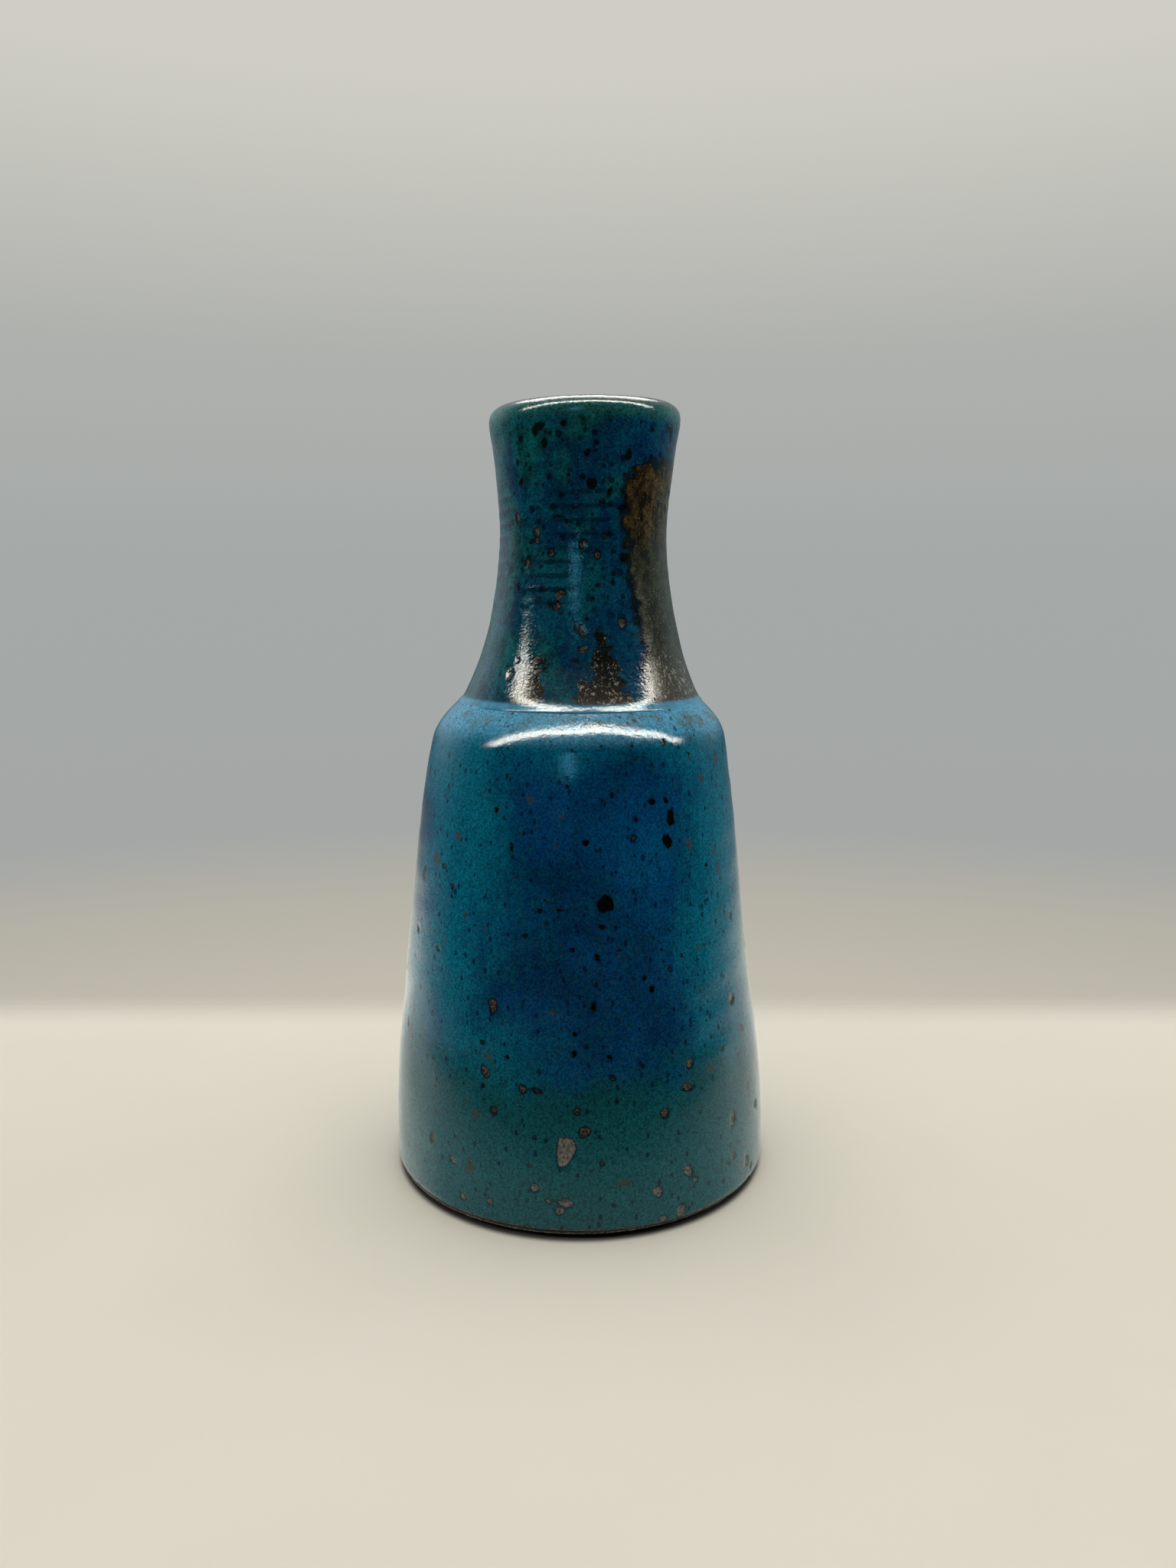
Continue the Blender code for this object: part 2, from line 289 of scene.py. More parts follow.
LEAN = ((0, 0), (45, -0.26), (63, -0.15), (75, 0.22), (90, 0.56), (118, 0.83), (125, 0.85))
OVAL = 0.004
RIM_TILT = 0.020


def lean_at(z):
    """Sideways lean of the axis at a height, with a soft change at each named height."""
    lean = np.zeros_like(z)
    for (z0, x0), (z1, x1) in zip(LEAN, LEAN[1:]):
        lean = lean + (x1 - x0) * smoothstep(z, z0, z1)
    return lean


def throw(x, y, z):
    """The vase's irregularity, the same for all pieces so that they stay nested."""
    oval = OVAL * smoothstep(z, 0.5 * HEIGHT, HEIGHT)
    tilt = RIM_TILT * smoothstep(z, 0.8 * HEIGHT, HEIGHT) * x
    return x * (1 + oval) + lean_at(z), y * (1 - oval), z + tilt


# ---------------------------------------------------------------- meshes

def turned_mesh(name, surfaces, closed):
    """Mesh from consecutive surfaces, whose shared rows are merged; poles become fans."""
    x, y, z = (np.vstack(parts) for parts in zip(*(s.points() for s in surfaces)))
    rows, steps = x.shape
    co = np.stack(throw(x, y, z), axis=-1).reshape(-1, 3) * MM
    i, j = np.meshgrid(np.arange(rows if closed else rows - 1), np.arange(steps), indexing="ij")
    below, beside = (i + 1) % rows, (j + 1) % steps
    quads = np.stack([i * steps + j, i * steps + beside, below * steps + beside, below * steps + j], -1)
    quads = quads.reshape(-1, 4)

    mesh = bpy.data.meshes.new(name)
    mesh.vertices.add(len(co))
    mesh.vertices.foreach_set("co", co.astype(np.float32).ravel())
    mesh.loops.add(quads.size)
    mesh.loops.foreach_set("vertex_index", quads.ravel().astype(np.int32))
    mesh.polygons.add(len(quads))
    mesh.polygons.foreach_set("loop_start", np.arange(0, quads.size, 4, dtype=np.int32))
    blank = -2.0
    for key in sorted({key for s in surfaces for key in s.fields}):
        values = np.vstack([s.fields.get(key, np.full(s.x.shape, blank)) for s in surfaces])
        attribute = mesh.attributes.new(key, "FLOAT", "POINT")
        attribute.data.foreach_set("value", values.astype(np.float32).ravel())
    mesh.update(calc_edges=True)
    bm = bmesh.new()
    bm.from_mesh(mesh)
    bmesh.ops.remove_doubles(bm, verts=bm.verts, dist=2e-6)
    bmesh.ops.recalc_face_normals(bm, faces=bm.faces)
    bm.to_mesh(mesh)
    bm.free()
    mesh.shade_smooth()
    return mesh


def outward_sign(outline):
    """Tells on which side of the outline's direction the outside lies."""
    r, z = outline[:, 0], outline[:, 1]
    return -1.0 if np.sum(r * np.roll(z, -1) - np.roll(r, -1) * z) > 0 else 1.0


def longest_first(runs):
    lengths = [np.linalg.norm(np.diff(run, axis=0), axis=1).sum() for run in runs]
    first = int(np.argmax(lengths))
    return runs[first:] + runs[:first]


def surfaces_of(node, steps, spacing, corner_deg=45):
    """Surfaces of a node's runs, longest first for a closed outline. spacing(run) is in mm."""
    outline, closed = section(node)
    runs = runs_between_corners(outline, closed, corner_deg)
    if closed:
        runs = longest_first(runs)
    outward = outward_sign(outline)
    return [Surface(resample(run, spacing(run)), steps, outward) for run in runs], closed


def without_shared_rows(surfaces, closed):
    """Drops each row that a surface shares with the one before it, or at a closed outline's end."""
    last = len(surfaces) - 1
    for index, surface in enumerate(surfaces):
        keep = slice(1 if index else 0, -1 if closed and index == last else None)
        for key in ("r", "z", "normal_r", "normal_z", "x", "y", "push", "height"):
            setattr(surface, key, getattr(surface, key)[keep])
        surface.fields = {key: field[keep] for key, field in surface.fields.items()}
    return surfaces


def add_piece(node, surfaces, closed, material):
    mesh = turned_mesh(node, without_shared_rows(surfaces, closed), closed)
    mesh.materials.append(material)
    obj = bpy.data.objects.new(node + "_look", mesh)
    bpy.context.scene.collection.objects.link(obj)
    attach(obj, "root")
    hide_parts(node)


def bowl(field, reach):
    """0 outside a mark, growing to 1 at a distance inside its edge."""
    return smoothstep(field, -0.35 * reach, reach)


def rings(surface, pitch, seed):
    """Throwing marks that wind up the wall, as waves from -1 to 1."""
    drift = surface.noise(16, seed) * 0.12
    return np.sin(math.tau * ((surface.height + drift) / pitch - surface.azimuth / math.tau))


def patch_share(surface, azimuth, half_width, low_z, high_z):
    """1 inside a soft, uneven patch of the wall, falling to 0 around it."""
    turn = np.degrees(surface.azimuth) - azimuth + 6 * surface.noise(12, 8)
    away = np.abs((turn + 180) % 360 - 180)
    height = surface.height + 3.5 * surface.noise(14, 9)
    rise = smoothstep(height, low_z - 7, low_z + 7)
    return (1 - smoothstep(away, 0.2 * half_width, 1.7 * half_width)) * rise * (
        1 - smoothstep(height, high_z - 4, high_z + 4))


# ---------------------------------------------------------------- pieces
# Steps are counted around the axis, and a spacing is between the rows along an outline.

BODY_STEPS, NECK_STEPS, FOOT_STEPS, LINER_STEPS = 400, 300, 300, 120
OUTSIDE_SPACING, HIDDEN_SPACING = 0.42, 2.0
MEAN_RADIUS_OUTSIDE = 24.25  # a run of the body's coat with a larger one is outside
CRATER_DEPTH, CRATER_LIP = 0.13, 0.03
BARE_DEPTH, CHIP_DEPTH, IRON_DEPTH = 0.22, 0.36, 0.03
LOW_EDGE_DEPTH, LOW_EDGE_HEIGHT = 0.22, 1.1
SWELLS = ((-1, 32), (1, 28))  # side of the body, and the height of the swelling there
SWELL_SIZE, SWELL_HEIGHT = 0.16, 5


def outside_or_hidden(run):
    """Row spacing for a run of the body's coat."""
    return OUTSIDE_SPACING if (run[0, 0] + run[-1, 0]) / 2 > MEAN_RADIUS_OUTSIDE else HIDDEN_SPACING


def swelling(surface, side, height):
    """A slight bulge on one side of the wall."""
    near = np.exp(-((surface.height - height) / SWELL_HEIGHT)**2)
    return SWELL_SIZE * near * smoothstep(np.sin(surface.azimuth) * side, 0.5, 1)


def body_glaze():
    parts, closed = surfaces_of("body_glaze", BODY_STEPS, outside_or_hidden)
    front = parts[0]
    ragged = front.noise(0.9, 3)
    iron = front.inside(IRON_ON_BODY + scattered(11, 150, 14, 71, (0.25, 0.75)), ragged)
    rust = front.inside(RUST_ON_BODY + scattered(12, 80, 4, 71, (0.35, 0.9)), ragged)
    craters = front.inside(CRATERS_ON_BODY + scattered(13, 46, 5, 62, (0.4, 0.8)), ragged)
    bare = front.inside(BARE_ON_BODY + scattered(14, 26, 1.5, 12, (0.4, 0.95)), ragged)
    chip = front.within(CHIP_ON_BODY, 0.05 * ragged, CHIP_ON_BODY[0][0])
    # The deep glaze's front patch is also painted shade on the dimly lit front.
    deep = np.max([patch_share(front, *patch) for patch in DEEP_GLAZE_AND_SHADE_PATCHES], axis=0)
    low_edge = 1 - smoothstep(front.height, GLAZE_LINE_Z, GLAZE_LINE_Z + LOW_EDGE_HEIGHT)
    front.push = (0.10 * front.noise(26, 1) + 0.035 * front.noise(11, 2) + 0.012 * front.noise(3.2, 4)
                  + 0.006 * rings(front, 5.4, 5) + sum(swelling(front, *place) for place in SWELLS)
                  - CRATER_DEPTH * bowl(craters, 0.5) + CRATER_LIP * bowl(craters + 0.7, 0.3)
                  - BARE_DEPTH * bowl(bare, 0.35) - CHIP_DEPTH * bowl(chip, 0.5)
                  - IRON_DEPTH * bowl(iron, 0.5) - LOW_EDGE_DEPTH * low_edge**2)
    for part in parts:
        turn = part.azimuth
        sag = 0.10 * np.sin(5 * turn + 1) + 0.07 * np.sin(11 * turn) + 0.05 * np.sin(23 * turn + 2)
        part.height = part.height + sag * (1 - smoothstep(part.z, GLAZE_LINE_Z, GLAZE_LINE_Z + 3))
    bright = np.max([patch_share(front, *patch) for patch in BRIGHT_PATCHES], axis=0)
    front.fields = {"iron": iron, "rust": rust, "crater": craters, "bare": np.maximum(bare, chip),
                    "deep": deep + 0.12 * front.noise(9, 6), "bright": bright}
    add_piece("body_glaze", parts, closed, body_glaze_material())


# Points of the neck's coat around the crease, as offsets from it in (radius, height).
NECK_SIDE_OF_FILLET = (-0.47, 1.10)
SHOULDER_SIDE_OF_FILLET = (0.66, -0.80)
DIP_BEYOND_FILLET = (0.95, -1.32)
EDGE_BEHIND_CREASE = (-0.3, -0.35)
FILLET_POINTS = 6
NECK_SPACING, BORE_SPACING = 0.3, 1.5
NECK_CRATER_DEPTH, NECK_IRON_RISE = 0.12, 0.03
RINGED_BAND = (88, 94, 106, 110)  # heights where throwing rings rise to full depth, and fade again


def neck_glaze():
    """The neck's coat, whose low edge runs out over the shoulder, where the two coats are fused."""
    outline, closed = section("neck_glaze")
    runs = longest_first(runs_between_corners(outline, closed, 45))
    crease = max(section("body_glaze")[0], key=lambda point: point[1])
    ends = crease + NECK_SIDE_OF_FILLET, crease + SHOULDER_SIDE_OF_FILLET
    t = np.linspace(0, 1, FILLET_POINTS)[:, None]
    fillet = (1 - t)**2 * ends[0] + 2 * t * (1 - t) * crease + t**2 * ends[1]
    hidden_edge = [crease + DIP_BEYOND_FILLET, crease + EDGE_BEHIND_CREASE]
    if runs[0][0, 0] > runs[0][-1, 0]:
        runs[0] = np.vstack([hidden_edge[::-1], fillet[::-1], runs[0][1:]])
        runs[-1] = np.vstack([runs[-1][:-1], hidden_edge[-1:]])
    else:
        runs[0] = np.vstack([runs[0][:-1], fillet, hidden_edge])
        runs[1] = np.vstack([hidden_edge[-1:], runs[1][1:]])
    outward = outward_sign(outline)
    parts = [Surface(resample(run, BORE_SPACING if i else NECK_SPACING), NECK_STEPS, outward)
             for i, run in enumerate(runs)]
    front = parts[0]
    ragged = front.noise(0.9, 23)
    outside = smoothstep(front.r, 11.9, 12.5)
    iron = front.inside(IRON_ON_NECK + scattered(31, 120, 80, 116, (0.25, 0.65)), ragged)
    craters = front.inside(CRATERS_ON_NECK + scattered(33, 40, 80, 112, (0.35, 0.7)), ragged)
    brown = front.within(BROWN_PATCH, 0.32 * front.noise(2.5, 24) + 0.3 * ragged)
    blotch = 0.5 * front.noise(1.8, 25) + 0.4 * ragged
    black = np.max([front.within(patch, blotch) for patch in BLACK_PATCHES], axis=0)
    band = smoothstep(front.height, *RINGED_BAND[:2]) * (1 - smoothstep(front.height, *RINGED_BAND[2:]))
    groove = rings(front, 2.0, 26) * (0.2 + 0.8 * band) * (0.6 + 0.4 * front.noise(7, 28))
    front.push = outside * (0.05 * front.noise(18, 21) + 0.012 * front.noise(3.2, 22) + 0.014 * groove
                            - NECK_CRATER_DEPTH * bowl(craters, 0.45)
                            + CRATER_LIP * bowl(craters + 0.6, 0.3)
                            + NECK_IRON_RISE * bowl(iron, 0.5))
    green = 0.52 - 0.34 * np.sin(front.azimuth + 0.30) + 0.14 * front.noise(3.4, 27)
    front.fields = {"iron": iron, "crater": craters, "brown": brown, "black": black,
                    "groove": groove, "green": green, "thin": patch_share(front, *THIN_ON_NECK)}
    add_piece("neck_glaze", parts, closed, neck_glaze_material())


def liner_glaze():
    parts, closed = surfaces_of("liner_glaze", LINER_STEPS, lambda run: 1.0)
    for part in parts:
        part.push = 0.05 * part.noise(9, 41) * smoothstep(part.r, 0.5, 3)
    add_piece("liner_glaze", parts, closed, liner_material())


FOOT_SPACING, FOOT_CORNER = 0.35, 24
LATHE_PITCH, LATHE_DEPTH = 1.1, 0.05
BEVEL_RADII, RIM_RADII, BEVEL_TOP = (28.6, 29.3), (28.9, 29.6), (0.45, 0.62)
UNDERCUT_DEPTH = 0.3


def stoneware_body():
    """The foot is turned finely: a rough rim over an undercut bevel, and cutting marks below."""
    foot_top = GLAZE_LINE_Z + 0.5
    parts, closed = surfaces_of("stoneware_body", FOOT_STEPS, lambda run: FOOT_SPACING
                                if run[:, 1].max() < foot_top else HIDDEN_SPACING, FOOT_CORNER)
    for part in parts:
        if part.z.max() < foot_top:
            undercut = smoothstep(part.r, *BEVEL_RADII) * (1 - smoothstep(part.z, *BEVEL_TOP))
            lathe = np.sin(math.tau * (part.r / LATHE_PITCH - part.azimuth / math.tau))
            inner = smoothstep(part.z, 0.8, 1.4) * smoothstep(part.r, 0.4, 2)
            rim = smoothstep(part.r, *RIM_RADII)
            rough = (0.03 + 0.05 * rim) * np.abs(part.noise(0.8, 52))
            part.push = (LATHE_DEPTH * lathe * inner - 0.03 - rough
                         - UNDERCUT_DEPTH * undercut * smoothstep(part.z, 0, 0.2))
            # The undercut's share also paints shade on the bevel in the clay's colour.
            part.fields = {"undercut": undercut + 0 * part.x, "rim": rim + 0 * part.x}
    add_piece("stoneware_body", parts, closed, clay_material())


def hidden_piece(node, steps, spacing, material):
    parts, closed = surfaces_of(node, steps, lambda run: spacing)
    for part in parts:
        part.push = -0.02 * np.abs(part.noise(2.5, 61))
    add_piece(node, parts, closed, material)


# ---------------------------------------------------------------- materials

class Paint:
    """A material's node tree, with short calls for the nodes that the glazes and clays share."""

    def __init__(self, name):
        self.material = bpy.data.materials.new(name)
        self.material.use_nodes = True
        self.tree = self.material.node_tree
        self.shader = self.tree.nodes["Principled BSDF"]
        self.place = self.node("ShaderNodeTexCoord").outputs["Object"]

    def node(self, kind, **settings):
        made = self.tree.nodes.new(kind)
        for key, value in settings.items():
            setattr(made, key, value)
        return made

    def plug(self, socket, value):
        if isinstance(value, bpy.types.NodeSocket):
            self.tree.links.new(value, socket)
        elif socket.type == "RGBA":
            socket.default_value = (*value, 1.0)
        else:
            socket.default_value = value

    def calc(self, operation, *values):
        made = self.node("ShaderNodeMath", operation=operation)
        for socket, value in zip(made.inputs, values):
            self.plug(socket, value)
        return made.outputs[0]

    def step(self, value, low, high, start=0.0, end=1.0):
        """Smooth change from start to end while the value goes from low to high."""
        made = self.node("ShaderNodeMapRange", interpolation_type="SMOOTHSTEP")
        for socket, given in zip(made.inputs, (value, low, high, start, end)):
            self.plug(socket, given)
        return made.outputs[0]

    def mix(self, share, first, second):
        made = self.node("ShaderNodeMix", data_type="RGBA")
        self.plug(made.inputs[0], share)
        self.plug(made.inputs[6], first)
        self.plug(made.inputs[7], second)
        return made.outputs[2]

    def laid(self, colour, top, share, strength):
        """A colour with another laid over it, at a share times a strength."""
        return self.mix(self.calc("MULTIPLY", share, strength), colour, top)

    def scaled(self, colour, tone):
        made = self.node("ShaderNodeVectorMath", operation="SCALE")
        if isinstance(colour, tuple):
            made.inputs[0].default_value = colour
        else:
            self.plug(made.inputs[0], colour)
        self.plug(made.inputs["Scale"], tone)
        return made.outputs[0]

    def moved(self, seed, stretch):
        made = self.node("ShaderNodeMapping")
        self.plug(made.inputs["Vector"], self.place)
        made.inputs["Location"].default_value = (seed * 0.37, seed * -0.21, seed * 0.53)
        made.inputs["Scale"].default_value = stretch
        return made.outputs[0]

    def noise(self, size, seed, detail=2.0, rough=0.5, stretch=(1, 1, 1)):
        """Noise from 0 to 1 with features about size mm wide."""
        made = self.node("ShaderNodeTexNoise")
        self.plug(made.inputs["Vector"], self.moved(seed, stretch))
        self.plug(made.inputs["Scale"], 1 / (size * MM))
        self.plug(made.inputs["Detail"], detail)
        self.plug(made.inputs["Roughness"], rough)
        return made.outputs["Fac"]

    def dots(self, spacing, radius, share, seed, stretch=(1, 1, 1)):
        """Spots of a radius in mm, in about this share of cells spaced so far apart."""
        made = self.node("ShaderNodeTexVoronoi")
        self.plug(made.inputs["Vector"], self.moved(seed, stretch))
        self.plug(made.inputs["Scale"], 1 / (spacing * MM))
        chosen = self.node("ShaderNodeSeparateColor")
        self.plug(chosen.inputs[0], made.outputs["Color"])
        size = self.step(chosen.outputs[1], 0.0, 1.0, 0.5 * radius / spacing, radius / spacing)
        near = self.calc("SUBTRACT", size, made.outputs["Distance"])
        spot = self.step(near, -0.2 * radius / spacing, 0.35 * radius / spacing)
        return self.calc("MULTIPLY", spot, self.calc("LESS_THAN", chosen.outputs[0], share))

    def field(self, name):
        return self.node("ShaderNodeAttribute", attribute_name=name).outputs["Fac"]

    def height(self):
        """Height above the foot in mm."""
        made = self.node("ShaderNodeSeparateXYZ")
        self.plug(made.inputs[0], self.place)
        return self.calc("MULTIPLY", made.outputs[2], 1 / MM)

    def marks(self, name, low, high, roughen=0.35, seed=7):
        """Share of a mark at each point: its distance field with a grainy edge."""
        grain = self.calc("MULTIPLY_ADD", self.noise(0.45, seed, 3.0), roughen, -roughen / 2)
        return self.step(self.calc("ADD", self.field(name), grain), low, high)

    def bumps(self, *layers):
        """Bump from (height in 0..1, depth in mm) layers, joined to the shader's normal."""
        normal = None
        for height, depth in layers:
            made = self.node("ShaderNodeBump")
            made.inputs["Strength"].default_value = 1.0
            made.inputs["Distance"].default_value = depth * MM
            self.plug(made.inputs["Height"], height)
            if normal is not None:
                self.plug(made.inputs["Normal"], normal)
            normal = made.outputs[0]
        self.plug(self.shader.inputs["Normal"], normal)

    def finish(self, colour, roughness, ior=1.46):
        self.plug(self.shader.inputs["Base Color"], colour)
        self.plug(self.shader.inputs["Roughness"], roughness)
        self.shader.inputs["IOR"].default_value = ior
        return self.material


# Linear colours, of which a pair is a dark and a light tone. The body's coat:
TEAL = (0.0015, 0.150, 0.235)
NAVY = (0.0006, 0.032, 0.102)
ROYAL = (0.0008, 0.055, 0.175)
BRIGHT_BLUE = (0.0012, 0.090, 0.270)
GREEN_TEAL = (0.003, 0.075, 0.085)
SEA_GREEN = (0.008, 0.105, 0.125)
DEEP_SEA = (0.004, 0.078, 0.090)
# Paler blue of the shoulder: glaze breaking thin over its edge, lightened further as painted light for
# the top-lit shoulder.
SHOULDER_BLUE_AND_PAINTED_LIGHT = (0.08, 0.35, 0.55)
OLIVE = (0.085, 0.105, 0.062)
INK = (0.0010, 0.009, 0.034)
OLIVE_TICK = (0.022, 0.028, 0.014)
# marks on both coats, and the clay that shows through:
IRON_BLACK = (0.0040, 0.0036, 0.0034)
RUST = (0.070, 0.044, 0.022)
PIT_RIM = (0.004, 0.008, 0.010)
PIT_CRUST = ((0.012, 0.009, 0.007), (0.125, 0.110, 0.092))
BARE_RIM = (0.004, 0.016, 0.020)
BARE_CLAY = ((0.045, 0.043, 0.038), (0.25, 0.235, 0.205))
# Painted shade: the dark line at the foot, and the contact shadow on the board.
FOOT_PAINTED_SHADE = (0.030, 0.020, 0.015)
# the neck's coat:
NECK_BLUE = (0.0015, 0.070, 0.135)
NECK_SEA = ((0.0015, 0.042, 0.050), (0.004, 0.122, 0.126))
THIN_BLUE = (0.005, 0.125, 0.190)
NECK_TICK = (0.002, 0.008, 0.016)
LIGHT_GRAIN = (0.030, 0.190, 0.230)
SOFT_SPOT = (0.001, 0.007, 0.020)
LIP_GREEN = (0.024, 0.160, 0.140)
LIP_EDGE = (0.10, 0.095, 0.060)
GOLDEN = ((0.008, 0.005, 0.002), (0.095, 0.060, 0.016))
OLIVE_BROWN = ((0.005, 0.008, 0.004), (0.034, 0.042, 0.018))
BROWN_BASE = (0.050, 0.040, 0.027)
BROWN_BORDER = (0.005, 0.006, 0.004)
BLACK_CRUST = ((0.010, 0.010, 0.006), (0.045, 0.030, 0.022))
# Pale flecks in the black and brown crust are painted highlight: glints of its sparkle.
PAINTED_GLINT = (0.36, 0.34, 0.29)
# the inside, the clay and the slip:
LINER_BLUES = ((0.004, 0.024, 0.040), (0.012, 0.062, 0.085))
CLAY_TONES = ((0.17, 0.135, 0.105), (0.29, 0.24, 0.19))
CLAY_SPECK = (0.07, 0.05, 0.04)
CLAY_GRIT = (0.45, 0.40, 0.33)
RIM_CRUMBS = ((0.085, 0.066, 0.050), (0.44, 0.38, 0.31))
# Painted shade in the foot's undercut bevel.
UNDERCUT_PAINTED_SHADE = (0.010, 0.008, 0.006)
SLIP_TONES = ((0.23, 0.19, 0.155), (0.34, 0.295, 0.245))

# Heights in mm from which a tone of the body's coat starts, and at which it is full.
LOW_ZONE, LOW_ZONE_SPREAD = 16.5, 18.0
SEA_RISE = (21.0, 9.0)
SHOULDER_RISE = (70.0, 73.4)
SMEAR_RISE, SMEAR_FALL = (72.0, 73.0), (75.2, 74.0)
# The same for the neck's coat.
FUSED = (76.45, 75.95)
SPOTS_RISE = (84.0, 96.0)
LIP_RISE, LIP_EDGE_RISE = (116.2, 118.2), (118.6, 119.4)
GOLDEN_RISE, BROWN_BASE_RISE, BLACK_BASE_RISE = (97.0, 103.0), (84.0, 77.0), (80.0, 77.0)
FINE_GLINTS_RISE, COARSE_GLINTS_RISE = (104.0, 80.0), (86.0, 79.0)

MOTTLE = (0.28, 0.72)
BODY_GLOSS, NECK_GLOSS, LINER_GLOSS = (0.07, 0.17), (0.07, 0.18), (0.2, 0.36)
BARE_ROUGHNESS, BROWN_ROUGHNESS = 0.85, 0.24


def with_pits(p, colour):
    """Burst bubbles: a dark rim around a crusty floor."""
    crust = p.mix(p.step(p.noise(0.26, 15, 3.0), 0.38, 0.62), *PIT_CRUST)
    colour = p.laid(colour, PIT_RIM, p.marks("crater", -0.24, 0.02), 0.9)
    return p.mix(p.marks("crater", 0.06, 0.3), colour, crust)


def body_glaze_material():
    p = Paint("cobalt_glaze")
    height = p.height()
    cloud = p.noise(7, 1, 5.0, 0.62)
    runs = p.noise(2.6, 2, 5.0, 0.65, (1, 1, 0.45))
    mottle = p.noise(0.34, 3, 3.0, 0.68)

    # Deep glaze, whose front patch is also painted shade for the dimly lit front.
    thick_and_shaded = p.calc("MULTIPLY_ADD", runs, 1.3, p.calc("ADD", p.field("deep"), -0.62))
    royal = p.mix(p.step(cloud, 0.34, 0.70), NAVY, ROYAL)
    royal = p.laid(royal, GREEN_TEAL, p.step(p.noise(1.1, 16, 4.0, 0.65), 0.48, 0.66), 0.5)
    royal = p.laid(royal, BRIGHT_BLUE, p.field("bright"), 0.55)
    colour = p.mix(p.step(thick_and_shaded, -0.1, 1.0), TEAL, royal)
    low_line = p.calc("MULTIPLY_ADD", p.noise(6, 4, 5.0, 0.68), LOW_ZONE_SPREAD, LOW_ZONE)
    low = p.step(p.calc("SUBTRACT", low_line, height), -5.0, 7.0)
    sea = p.mix(p.step(height, *SEA_RISE), DEEP_SEA, SEA_GREEN)
    colour = p.laid(colour, sea, low, 0.9)
    # The shoulder's paler blue: glaze breaking thin over the edge, and partly painted light, lighter
    # because the shoulder faces up to the lamps.
    edge = p.calc("MULTIPLY", p.step(height, *SHOULDER_RISE), 0.95)
    broken_and_lit = p.step(p.noise(1.6, 5, 4.0, 0.7), 0.2, 0.5)
    colour = p.mix(p.calc("MULTIPLY", edge, broken_and_lit), colour, SHOULDER_BLUE_AND_PAINTED_LIGHT)
    smear = p.calc("MULTIPLY", p.step(height, *SMEAR_RISE), p.step(height, *SMEAR_FALL))
    smear = p.calc("MULTIPLY", smear, p.step(p.noise(4, 17, 4.0, 0.6), 0.50, 0.64))
    colour = p.laid(colour, OLIVE, smear, 0.7)

    flecks = p.dots(1.15, 0.32, 0.7, 6, (1, 1, 0.6))
    colour = p.laid(colour, INK, flecks, 0.8)
    colour = p.laid(colour, OLIVE_TICK, p.dots(2.1, 0.36, 0.3, 18), 0.6)
    colour = p.scaled(colour, p.step(mottle, *MOTTLE, 0.45, 1.6))

    colour = with_pits(p, colour)
    colour = p.laid(colour, RUST, p.marks("rust", -0.3, 0.4), 0.6)
    iron = p.calc("MAXIMUM", p.marks("iron", -0.08, 0.2, 0.6), p.dots(3.4, 0.36, 0.25, 8))
    colour = p.mix(iron, colour, IRON_BLACK)
    thin_edge = p.calc("MULTIPLY_ADD", p.noise(1.2, 20, 4.0, 0.7), -1.6, height)
    bare = p.calc("MAXIMUM", p.marks("bare", -0.02, 0.15),
                  p.step(thin_edge, GLAZE_LINE_Z - 0.35, GLAZE_LINE_Z - 0.6))
    colour = p.laid(colour, BARE_RIM, p.marks("bare", -0.3, -0.05), 0.7)
    clay = p.mix(p.step(p.noise(0.42, 9, 4.0, 0.72), 0.36, 0.64), *BARE_CLAY)
    # Below the glaze line the bare clay turns to painted shade, the dark line at the foot.
    clay = p.mix(p.step(height, GLAZE_LINE_Z + 0.3, GLAZE_LINE_Z + 0.1), clay, FOOT_PAINTED_SHADE)
    colour = p.mix(bare, colour, clay)

    p.bumps((p.noise(0.34, 11, 2.0, 0.6), 0.022), (p.noise(1.7, 12, 2.0), 0.025))
    roughness = p.step(p.noise(0.8, 10, 3.0), 0.3, 0.7, *BODY_GLOSS)
    return p.finish(colour, p.calc("MAXIMUM", roughness, p.calc("MULTIPLY", bare, BARE_ROUGHNESS)))


